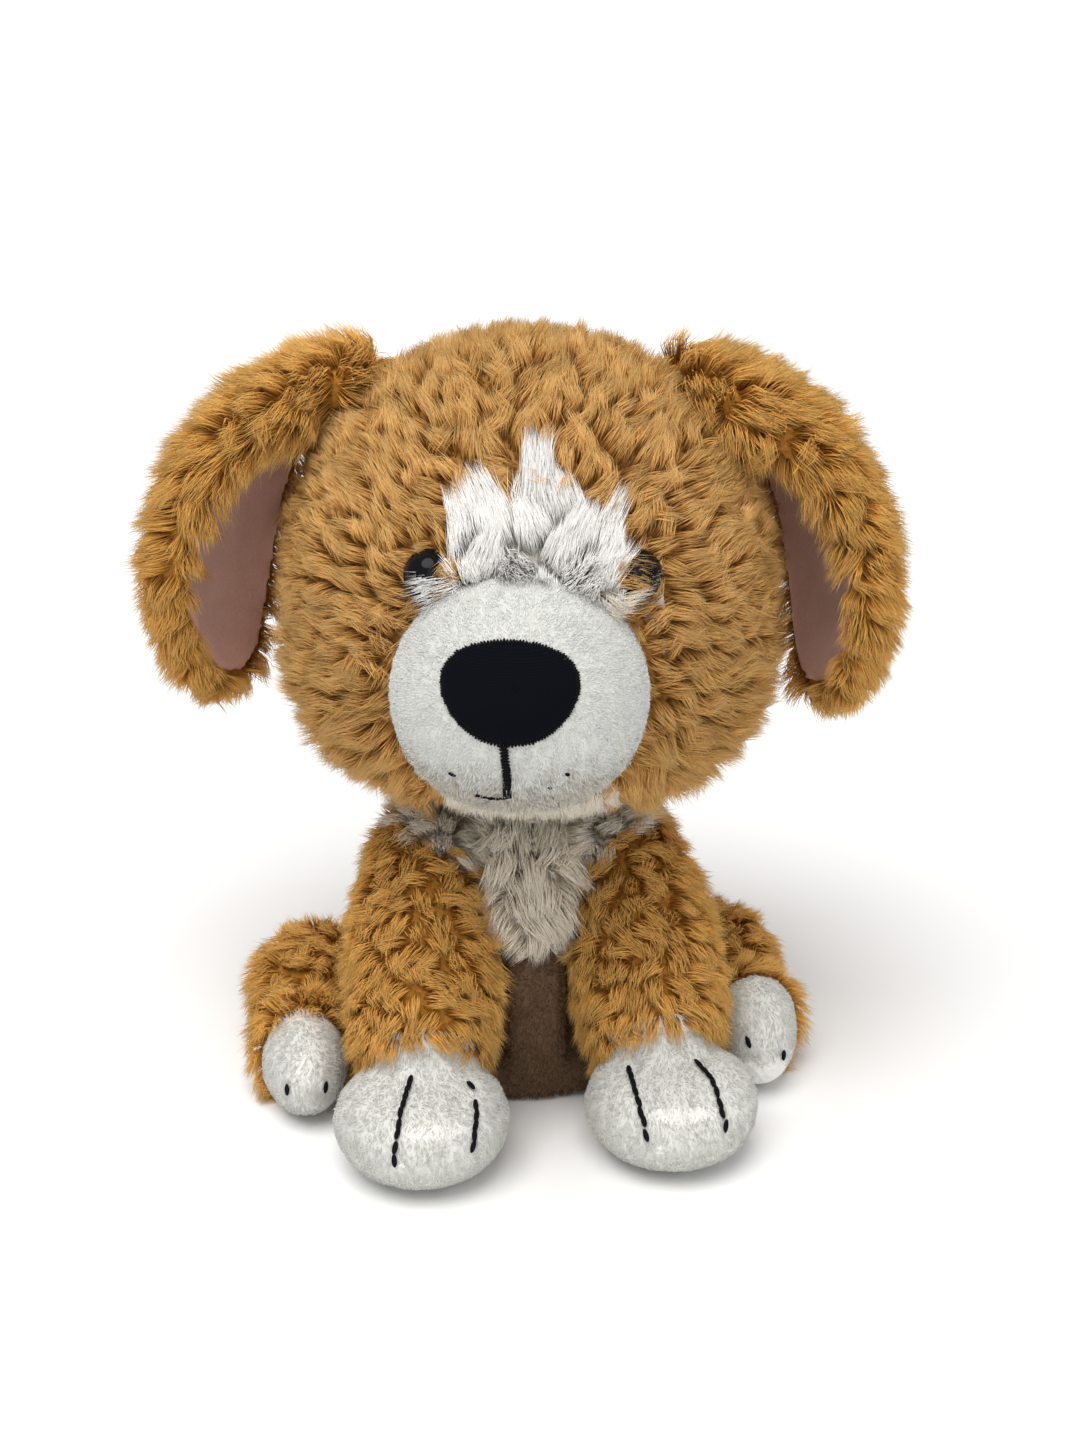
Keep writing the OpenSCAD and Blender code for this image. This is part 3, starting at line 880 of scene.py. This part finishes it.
NOSE_RINGS, NOSE_SPOKES = 16, 72
NOSE_EDGE, NOSE_PUFF, NOSE_BACK = 0.5 * MM, 3.6 * MM, -0.8 * MM
nose_verts = []
for layer in ("front", "back"):
    for ring in range(NOSE_RINGS, 0, -1):
        share = ring / NOSE_RINGS
        lift = NOSE_EDGE + NOSE_PUFF * (1 - share**2.6) ** 0.7 if layer == "front" else NOSE_BACK
        for k in range(NOSE_SPOKES):
            spot, normal = nose_point(2 * math.pi * k / NOSE_SPOKES, share)
            nose_verts.append(spot + normal * lift)
    spot, normal = face_point(0, 0)
    nose_verts.append(spot + normal * (NOSE_EDGE + NOSE_PUFF if layer == "front" else NOSE_BACK))
half_count = NOSE_RINGS * NOSE_SPOKES + 1
nose_faces = []
for start, flip in ((0, False), (half_count, True)):
    for ring in range(NOSE_RINGS - 1):
        for k in range(NOSE_SPOKES):
            a, b = start + ring * NOSE_SPOKES + k, start + ring * NOSE_SPOKES + (k + 1) % NOSE_SPOKES
            face = (a, b, b + NOSE_SPOKES, a + NOSE_SPOKES)
            nose_faces.append(face[::-1] if flip else face)
    last = start + (NOSE_RINGS - 1) * NOSE_SPOKES
    for k in range(NOSE_SPOKES):
        face = (last + k, last + (k + 1) % NOSE_SPOKES, start + half_count - 1)
        nose_faces.append(face[::-1] if flip else face)
for k in range(NOSE_SPOKES):
    n = (k + 1) % NOSE_SPOKES
    nose_faces.append((n, k, half_count + k, half_count + n))
nose_mesh = bpy.data.meshes.new("nose_pad")
nose_mesh.from_pydata(nose_verts, [], nose_faces)
nose_pad = new_object("nose_pad", nose_mesh)
smooth(nose_pad)
dress(nose_pad, "nose_cloth")
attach(nose_pad, "head")
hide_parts("nose")

rim_bm = bmesh.new()
rim_rng = np.random.default_rng(7)
RIM_STITCHES = 128
for k in range(RIM_STITCHES):
    turn = 2 * math.pi * k / RIM_STITCHES
    spot, normal = nose_point(turn, 1 + rim_rng.normal(0, 0.008))
    inner = nose_point(turn, 0.9)[0]
    along = spot - inner
    along = (along - along.dot(normal) * normal).normalized()
    bead(rim_bm, spot + normal * 0.45 * MM, along, normal, length=1.9 * MM, width=0.8 * MM, height=1.2 * MM)
nose_rim = new_object("nose_rim", mesh_of(rim_bm, "nose_rim"))
smooth(nose_rim)
dress(nose_rim, "thread")
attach(nose_rim, "head")

MOUTH_LOW, MOUTH_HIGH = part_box("mouth_stitching")
mouth_top = MOUTH_HIGH.z - NOSE_C.z + 1 * MM
mouth_end = MOUTH_LOW.z - NOSE_C.z + 1.5 * MM
sew("mouth_thread", muzzle, "head",
    [([face_point(-1.2 * MM, mouth_top)[0], face_point(-0.6 * MM, (mouth_top + mouth_end) / 2)[0],
       face_point(-0.8 * MM, mouth_end)[0]], 0.75 * MM)],
    width=2.3 * MM, replaced=["mouth_stitching"], fill=1.1, twist=8)
sew("lip_thread", muzzle, "head",
    [([face_point(-0.8 * MM, mouth_end)[0], face_point(-4 * MM, mouth_end - 0.6 * MM)[0],
       face_point(-8.5 * MM, mouth_end + 0.2 * MM)[0]], 1.6 * MM)],
    width=0.6 * MM, replaced=[], fill=1.2, twist=6)
whisker_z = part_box("whisker_stitches")[1].z - NOSE_C.z
# Single stitches: (aside, up, half length)
WHISKERS = [(-13.2 * MM, -1.6 * MM, 1.1 * MM), (13 * MM, -0.5 * MM, 0.7 * MM), (9 * MM, -4 * MM, 0.7 * MM)]
sew("whisker_thread", muzzle, "head",
    [([face_point(x - reach, whisker_z + z)[0], face_point(x + reach, whisker_z + z - 0.5 * MM)[0]], 2 * reach)
     for x, z, reach in WHISKERS],
    width=0.9 * MM, replaced=["whisker_stitches"], fill=1.0, twist=4)

# ---- torso -----------------------------------

torso = fillings["torso"]
dress(torso, "body_backing")
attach(torso, "torso")
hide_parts("torso_shell")
BIB_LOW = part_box("chest_bib")[0].z
BODY_X = middle("chest_bib").x
BELLY_LOW, BELLY_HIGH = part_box("belly_panel")
CHEST_Y = middle("torso_shell").y
TORSO_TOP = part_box("torso_shell")[1].z


def bib_edge(points):
    """Height of the lower edge of the white bib: a point on the chest and a band over the shoulders."""
    x = np.abs(points[:, 0] - BODY_X) / MM
    return BIB_LOW + MM * np.interp(x, [0, 6, 9, 13, 18, 24, 34, 38], [-2, 2, 6, 9, 16, 21, 24, 60])


def in_bib(points):
    return (points[:, 1] < CHEST_Y - 6 * MM) & (points[:, 2] > bib_edge(points))


def bib_mask(points, out):
    """The bib's pile is shorter along its lower edge."""
    return np.where(in_bib(points), 1.0 - 0.3 * ease((bib_edge(points) + 9 * MM - points[:, 2]) / (9 * MM)), 0)


def belly_mask(points, out):
    """The dark panel on the belly and under the seat."""
    wide = (points[:, 0] > BELLY_LOW.x - 4 * MM) & (points[:, 0] < BELLY_HIGH.x + 4 * MM)
    front = wide & (points[:, 1] < CHEST_Y)
    return np.where((front | (points[:, 2] < 4 * MM)) & ~in_bib(points), 1.0, 0)


def torso_mask(points, out):
    return np.where((belly_mask(points, out) == 0) & ~in_bib(points), 1.0, 0)


def body_comb(points, out):
    return np.tile([0.0, 0.35, -1.0], (len(points), 1))


def bib_comb(points, out):
    x = (points[:, 0:1] - BODY_X) / (30 * MM)
    return np.array([0, -0.2, -1.0])[None] + np.array([1.0, 0, 0])[None] * x


def collar_comb(points, out):
    """Outward and forward under the chin."""
    return points - np.array([BODY_X, CHEST_Y, 0]) - UP * 20 * MM


def collar_mask(points, out):
    return np.where((points[:, 1] < CHEST_Y - 3 * MM) & (points[:, 2] > TORSO_TOP - 14 * MM), 1.0, 0)


paint(torso, "white", lambda points, out: in_bib(points) * 1.0)
paint(torso, "taupe", belly_mask)
grow("torso_fur", torso, "torso", "body_fur", body_comb,
     length=9.5 * MM, seed=21, mask=torso_mask,
     density=2.8, spacing=3.6 * MM, width=0.33 * MM, clump=0.5, clear=[LABEL_BALL])
grow("bib_fur", torso, "torso", "cream_fur", bib_comb,
     length=13 * MM, seed=22, mask=bib_mask,
     density=3.6, spacing=4.6 * MM, lean=54, stray=22, replaced=["chest_bib"])
grow("bib_collar", torso, "torso", "cream_fur", collar_comb,
     length=12 * MM, seed=24, mask=collar_mask,
     density=3.2, spacing=4.6 * MM, lean=32, clump=0.45, stray=25)
grow("belly_nap", torso, "torso", "taupe_nap", down,
     length=2.0 * MM, seed=23, mask=belly_mask,
     density=2.8, spacing=2.4 * MM, width=0.28 * MM, clump=0.35, sink=0.4 * MM,
     replaced=["belly_panel", "base_panel"])

# ---- legs ------------------------------------

def beyond(point, normal, sign, low=1 * MM):
    """Roots on one side of a seam plane and clear of the floor."""
    def mask(points, out):
        side = sign * ((points - np.array(point)) @ np.array(normal)) > 0.4 * MM
        return np.where(side & (points[:, 2] > low), 1.0, 0)
    return mask


def crease(point, normal, depth, width):
    """A shallow groove where a seam pulls the cloth in."""
    def push(points, out):
        gap = (points - np.array(point)) @ np.array(normal) / width
        return -depth * np.exp(-gap**2)
    return push


def square_toe(centre):
    """Fills out the upper corners of a front paw."""
    def push(points, out):
        aside = ease((np.abs(points[:, 0] - centre.x) / MM - 7) / 9)
        high = ease((points[:, 2] - centre.z) / MM / 8 + 0.6)
        fore = ease((centre.y + 14 * MM - points[:, 1]) / (14 * MM))
        return 1.8 * MM * aside * high * fore
    return push


def fit_leg(kind, side, seam_point, seam_normal, lie, seed):
    """Cuts a leg skin into sleeve and paw at its seam and grows both piles."""
    body = f"{kind}_leg_{side}"
    sleeve = fillings[body]
    if body == "hind_leg_left":  # its foot end stands a little taller
        co = positions(sleeve.data)
        co[:, 2] *= 1 + 0.2 * ease((seam_point.y + 8 * MM - co[:, 1]) / (14 * MM))
        move_to(sleeve.data, co)
    if kind == "hind":  # the thigh is full at its back end
        reshape(sleeve, lambda co, no: 1.5 * MM * ease((co[:, 1] - seam_point.y - 12 * MM) / (12 * MM)))
    reshape(sleeve, crease(seam_point, seam_normal, depth=1.2 * MM, width=1.8 * MM))
    paw = cut(sleeve, f"{kind}_paw_{side}_skin", seam_point, seam_normal)
    for piece, look, slot_name, node in ((sleeve, "body_backing", "body_fur", f"{body}_sleeve"),
                                         (paw, "white_pile", "white_pile", f"{kind}_paw_{side}")):
        dress(piece, look)
        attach(piece, body)
        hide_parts(node)
    if kind == "front":
        centre = middle(f"front_paw_{side}")
        reshape(paw, square_toe(centre))
        reshape(paw, crease((0, 0, centre.z - 4 * MM), (0, 0.1, 1), depth=0.6 * MM, width=1.6 * MM))
    covered = beyond(seam_point, seam_normal, -1, low=2.5 * MM)
    if kind == "front":
        paint(sleeve, "white", lambda points, out: in_bib(points) * 1.0)

    def sleeve_mask(points, out):
        bib = in_bib(points) & (points[:, 2] > bib_edge(points) + 1 * MM) if kind == "front" else False
        return np.where(bib, 0, covered(points, out))

    grow(f"{body}_fur", sleeve, body, "body_fur", lie,
         length=9 * MM, seed=seed, mask=sleeve_mask,
         density=3.0, spacing=3.5 * MM, width=0.33 * MM, clump=0.5, stray=38, clear=[LABEL_BALL])
    if kind == "front":
        grow(f"{body}_bib", sleeve, body, "cream_fur", bib_comb,
             length=12 * MM, seed=seed + 2, mask=bib_mask,
             density=4.0, spacing=4.6 * MM, lean=50, stray=22)
    grow(f"{kind}_paw_{side}_nap", paw, body, "paw_nap", down,
         length=1.3 * MM, seed=seed + 4, mask=beyond(seam_point, seam_normal, 1),
         density=4.5, spacing=2.2 * MM, width=0.22 * MM, lean=72, clump=0.1, stray=30, sink=0.3 * MM)
    return paw


paws = {}
for index, side in enumerate(SIDES):
    paw_c = middle(f"front_paw_{side}")
    along = (paw_c - middle(f"front_leg_{side}_sleeve")).normalized()
    cuff = Vector((paw_c.x, paw_c.y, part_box(f"front_paw_{side}")[1].z - 3 * MM)) - along * 4 * MM
    paws[f"front_{side}"] = fit_leg("front", side, cuff, along, steady(along), 31 + index)
    ankle = Vector((0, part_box(f"hind_paw_{side}")[1].y, 0))
    paws[f"hind_{side}"] = fit_leg("hind", side, ankle, Vector((0, -1, 0)), steady((SIDES[side] * 0.4, -1, -0.2)),
                                   41 + index)

# Toe stitches: rows of (aside, degrees up) on the front of a paw, with the gaps the thread skips
FRONT_TOES = {
    "right": [[(-2.6, 74), (-4.8, 36), (-8.2, -10)], [(12.0, 60), (12.8, 46)], [(13.0, 30), (12.6, 12), (10.8, -6)]],
    "left": [[(-12.0, 72), (-11.6, 34), (-9.4, -6)], [(5.6, 72), (8.6, 38), (10.2, -4)]],
}
HIND_TOES = {
    "right": [[(-4.5, 14), (-4.5, -10)], [(4.5, 14), (4.5, -10)]],
    "left": [[(-5.0, 46), (-4.0, 30)], [(4.0, 20), (4.5, 0)]],
}
for kind, rows_of in (("front", FRONT_TOES), ("hind", HIND_TOES)):
    for side, rows in rows_of.items():
        paw, centre = paws[f"{kind}_{side}"], middle(f"{kind}_paw_{side}")
        lines = [([on_front(paw, centre, x * MM, up) for x, up in row], 2.6 * MM) for row in rows]
        sew(f"{kind}_toes_{side}_thread", paw, f"{kind}_leg_{side}", lines, width=1.5 * MM,
            replaced=[f"{kind}_toes_{side}"], fill=1.4, twist=6)

# ---- tail ------------------------------------

tail = fillings["tail"]
dress(tail, "body_backing")
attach(tail, "tail")
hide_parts("tail_skin")
grow("tail_fur", tail, "tail", "body_fur", steady((0, 1, 0.4)),
     length=9 * MM, seed=51, density=1.5, spacing=4.4 * MM, lean=50)

# ---- ears ------------------------------------

def ear_comb(out_x):
    """Down and away from the head, and a little forward round the rim."""
    def comb(points, out):
        return np.tile(np.array(ASIDE * out_x * 0.5 - UP + OUTWARD * 0.25), (len(points), 1))
    return comb


def widen(obj, level, aside, upward):
    """Stretches a piece about its middle, by shares along a level direction and upward."""
    co = positions(obj.data)
    off = co - (co.min(0) + co.max(0)) / 2
    move_to(obj.data, co + np.outer(off @ level, level) * aside + np.outer(off @ UP, UP) * upward)


for index, side in enumerate(SIDES):
    body = f"ear_{side}"
    leaf = soften(filling_of(f"{body}_leaf", [f"{body}_outer"], voxel=2.5 * MM), rounds=3)
    smooth(leaf)
    dress(leaf, "body_backing")
    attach(leaf, body)
    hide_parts(f"{body}_outer")
    lining = soften(filling_of(f"{body}_velour", [f"{body}_lining"], voxel=1.2 * MM), rounds=2)
    widen(lining, unit(np.array(JOINTS[f"{body}_lift"]["axis"])), aside=0.07, upward=0.03)
    smooth(lining)
    dress(lining, "ear_velour")
    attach(lining, body)
    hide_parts(f"{body}_lining")
    lining_tree = tree_of(lining)
    ear_low, ear_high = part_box(f"{body}_outer")

    def ear_mask(points, out, tree=lining_tree):
        near = np.array([tree.find_nearest(p)[3] for p in points])
        rise = ease((points[:, 2] - ear_low.z) / (ear_high.z - ear_low.z))
        return np.where(near > 1.0 * MM, 0.8 + 0.35 * rise, 0)

    grow(f"{body}_fur", leaf, body, "body_fur", ear_comb(SIDES[side]),
         length=10.5 * MM, seed=61 + index, mask=ear_mask,
         density=3.0, spacing=3.6 * MM, width=0.33 * MM, lean=44, clump=0.5, stray=35)

# ---- carried CAD nodes -----------------------

CARRIED = {
    "body_backing": ["neck_wad"],
    "fibre": ["head_stuffing", "muzzle_stuffing", "torso_stuffing", "bean_pouch", "tail_stuffing",
              *[f"{end}_leg_{side}_stuffing" for end in ("front", "hind") for side in SIDES]],
    "washer_plastic": ["eye_washers", "bean_pellets"],
    "eye_plastic": ["eye_left", "eye_right"],
    "tape": ["sewn_label"],
}
for look, names in CARRIED.items():
    for node_name in names:
        dress(NODES[node_name], look)
        smooth(NODES[node_name])

# ---- stage, lights, camera -------------------

AZIMUTH, ELEVATION, DISTANCE = -7.0, 22.0, 0.6
AIM = Vector((0.0054, 0.0, 0.1033))
LENS = 55.6
REACH = 40.0

floor_mesh = bpy.data.meshes.new("floor")
floor_mesh.from_pydata([(-REACH, -REACH, 0), (REACH, -REACH, 0), (REACH, REACH, 0), (-REACH, REACH, 0)], [],
                       [(0, 1, 2, 3)])
floor = new_object("floor", floor_mesh)
floor_paint, _, _, floor_shader = new_material("floor", roughness=0.9, sheen=0.0, specular=0.0)
floor_shader.inputs["Base Color"].default_value = (0.97, 0.97, 0.97, 1)
floor.data.materials.append(floor_paint)


def soft_sun(name, toward, strength, spread, colour=(1, 1, 1)):
    """Even light over the whole floor from the direction of toward, its disc spread over some degrees."""
    light = bpy.data.lights.new(name, "SUN")
    light.energy = strength
    light.angle = math.radians(spread)
    light.color = colour
    lamp = bpy.data.objects.new(name, light)
    bpy.context.collection.objects.link(lamp)
    lamp.rotation_euler = Vector(toward).to_track_quat("Z", "Y").to_euler()


soft_sun("key", (-0.25, -0.4, 1.2), strength=2.55, spread=45, colour=(1.0, 0.99, 0.97))
soft_sun("front", (0.15, -1.0, 0.4), strength=0.7, spread=50)

world = bpy.data.worlds.new("studio")
world.use_nodes = True
sky = world.node_tree.nodes["Background"]
sky.inputs["Color"].default_value = (1, 1, 1, 1)
sky.inputs["Strength"].default_value = 0.34
bpy.context.scene.world = world
bpy.context.scene.view_settings.view_transform = "Standard"

camera = bpy.data.objects.new("camera", bpy.data.cameras.new("camera"))
bpy.context.collection.objects.link(camera)
camera.data.lens = LENS
camera.data.clip_start = 0.01
around, above = math.radians(AZIMUTH), math.radians(ELEVATION)
back = Vector((math.sin(around) * math.cos(above), -math.cos(around) * math.cos(above), math.sin(above)))
camera.location = AIM + back * DISTANCE
camera.rotation_euler = (-back).to_track_quat("-Z", "Y").to_euler()
bpy.context.scene.camera = camera
